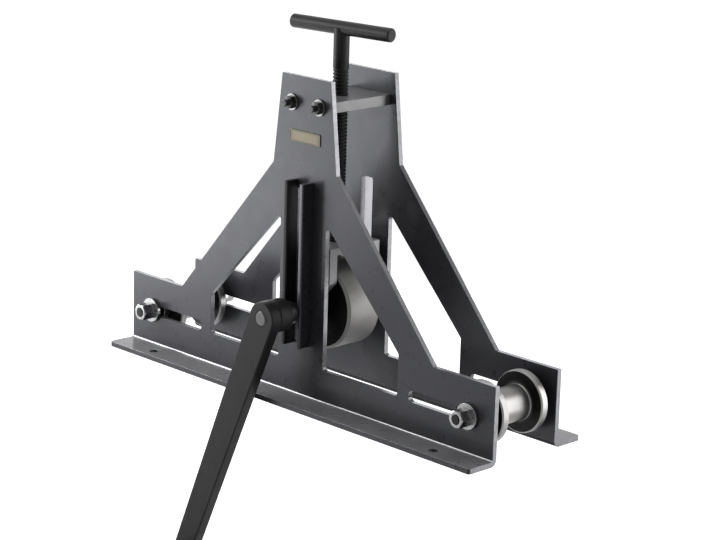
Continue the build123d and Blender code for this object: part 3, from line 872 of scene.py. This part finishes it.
def axle_stud(node, material):
    """An axle's stud, threaded from each end to the washer."""
    low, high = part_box(node)
    near, far = (box[1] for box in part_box(node.replace("stud", "washers")))
    radius = (high[0] - low[0]) / 2
    tip = STUD_THREAD_DEPTH
    rows = [(low[1], radius - tip), (low[1] + tip, radius)]
    rows += thread_rows(radius, STUD_THREAD_DEPTH, STUD_PITCH, low[1] + tip, near)
    rows += thread_rows(radius, STUD_THREAD_DEPTH, STUD_PITCH, far, high[1] - tip)
    rows += [(high[1] - tip, radius), (high[1], radius - tip)]
    form = bmesh.new()
    add_turned(form, rows, ROD_SIDES, about_y(middle((low, high))))
    add_made(node, material, form)


def bolt_rows(tip, root, inner):
    """Rows of a bolt from its threaded tip to the end inside the bridge plate."""
    outward = -1 if tip < root else 1
    rows = [(tip + outward * BOLT_TAIL, BOLT_R - BOLT_THREAD_DEPTH)]
    ends = sorted((tip + outward * (BOLT_TAIL - BOLT_THREAD_DEPTH), root))
    thread = thread_rows(BOLT_R, BOLT_THREAD_DEPTH, BOLT_PITCH, *ends)
    rows += thread if outward < 0 else reversed(thread)
    return rows + [(inner, BOLT_R)]


def bridge_bolts(node, material):
    """The bridge plate's bolts, each with a hexagon nut on its threaded end."""
    near, far = (box[1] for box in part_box("bridge_washers"))
    form = bmesh.new()
    for low, high in islands(node):
        size = high - low
        put = about_y(middle((low, high)))
        if high[1] < 0:
            tip, seat, inner = low[1], near, high[1]
        else:
            tip, seat, inner = high[1], far, low[1]
        rows = nut_rows(min(size[0], size[2]), BOLT_R, *sorted((tip, seat)))
        add_turned(form, rows, NUT_SIDES, put, hollow=True)
        add_turned(form, bolt_rows(tip, seat, inner), ROD_SIDES, put)
    add_made(node, material, form)


def saddle(radius):
    """The height of the T bar's underside above a circle round the screw, by angle."""
    low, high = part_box("tee_bar")
    bar_r = (high[2] - low[2]) / 2

    def height(angle):
        aside = radius * math.sin(angle - TEE_BAR_YAW)
        return (low[2] + high[2]) / 2 - math.sqrt(max(0.0, bar_r**2 - aside**2))

    return height


def lead_screw(node, material):
    """The screw: a journal, a shoulder, the thread, and a plain stem saddled under the T bar."""
    low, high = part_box(node)
    radius = (high[0] - low[0]) / 2
    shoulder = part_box("thrust_washer")[1][2] + SCREW_END_GAP
    rows = [(low[2], JOURNAL_R - JOURNAL_CHAMFER), (low[2] + JOURNAL_CHAMFER, JOURNAL_R)]
    rows += [(shoulder, JOURNAL_R), (shoulder, radius)]
    rows += thread_rows(radius, SCREW_THREAD_DEPTH, SCREW_PITCH, SCREW_THREAD_LOW, SCREW_THREAD_HIGH)
    rows += [(saddle(radius * share), radius * share) for share in SADDLE_RINGS]
    form = bmesh.new()
    add_turned(form, rows, ROD_SIDES, about_z(middle((low, high))))
    add_made(node, material, form)


def rounded_loop(centre, half_width, half_height, corner, y):
    """Points round a rectangle with round corners, upright at y."""
    points = []
    for quarter in range(4):
        turn = quarter * math.pi / 2
        side_x = 1 if quarter in (0, 3) else -1
        side_z = 1 if quarter in (0, 1) else -1
        for k in range(LABEL_CORNER_STEPS + 1):
            angle = turn + math.pi / 2 * k / LABEL_CORNER_STEPS
            x = side_x * (half_width - corner) + corner * math.cos(angle)
            z = side_z * (half_height - corner) + corner * math.sin(angle)
            points.append((centre[0] + x, y, centre[2] + z))
    return points


def label_plate(node, material):
    """A bare plate whose field lies a little below its rim."""
    low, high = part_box(node)
    half = (high - low) / 2
    front, field = low[1], low[1] + LABEL_FIELD_DEPTH
    insets = [
        (0.0, high[1]),
        (0.0, front + LABEL_EDGE),
        (LABEL_EDGE, front),
        (LABEL_RIM, front),
        (LABEL_RIM + LABEL_FIELD_DEPTH, field),
    ]
    loops = []
    for inset, y in insets:
        corner = LABEL_CORNER_R - inset
        loops.append(rounded_loop(middle((low, high)), half[0] - inset, half[2] - inset, corner, y))
    form = bmesh.new()
    add_skin(form, loops)
    add_made(node, material, form)


DETAILED = {
    "left_axle_nuts": hex_nuts,
    "right_axle_nuts": hex_nuts,
    "grip_nut": hex_nuts,
    "left_axle_stud": axle_stud,
    "right_axle_stud": axle_stud,
    "bridge_bolts": bridge_bolts,
    "lead_screw": lead_screw,
    "label_plate": label_plate,
}


def dress_nodes(materials):
    """Every node gets its finish, and those that show get their detail."""
    for node, slot in SLOT_OF.items():
        material = materials.get(node) or materials[slot]
        if node in DETAILED:
            DETAILED[node](node, material)
        elif node in INNER:
            NODES[node].data.materials.clear()
            NODES[node].data.materials.append(material)
        else:
            dress(node, material, EDGE.get(slot, PLAIN_EDGE))


SCENE.view_settings.view_transform = "Standard"
add_camera()
add_world()
add_floor()
add_lights()
dress_nodes(make_materials())
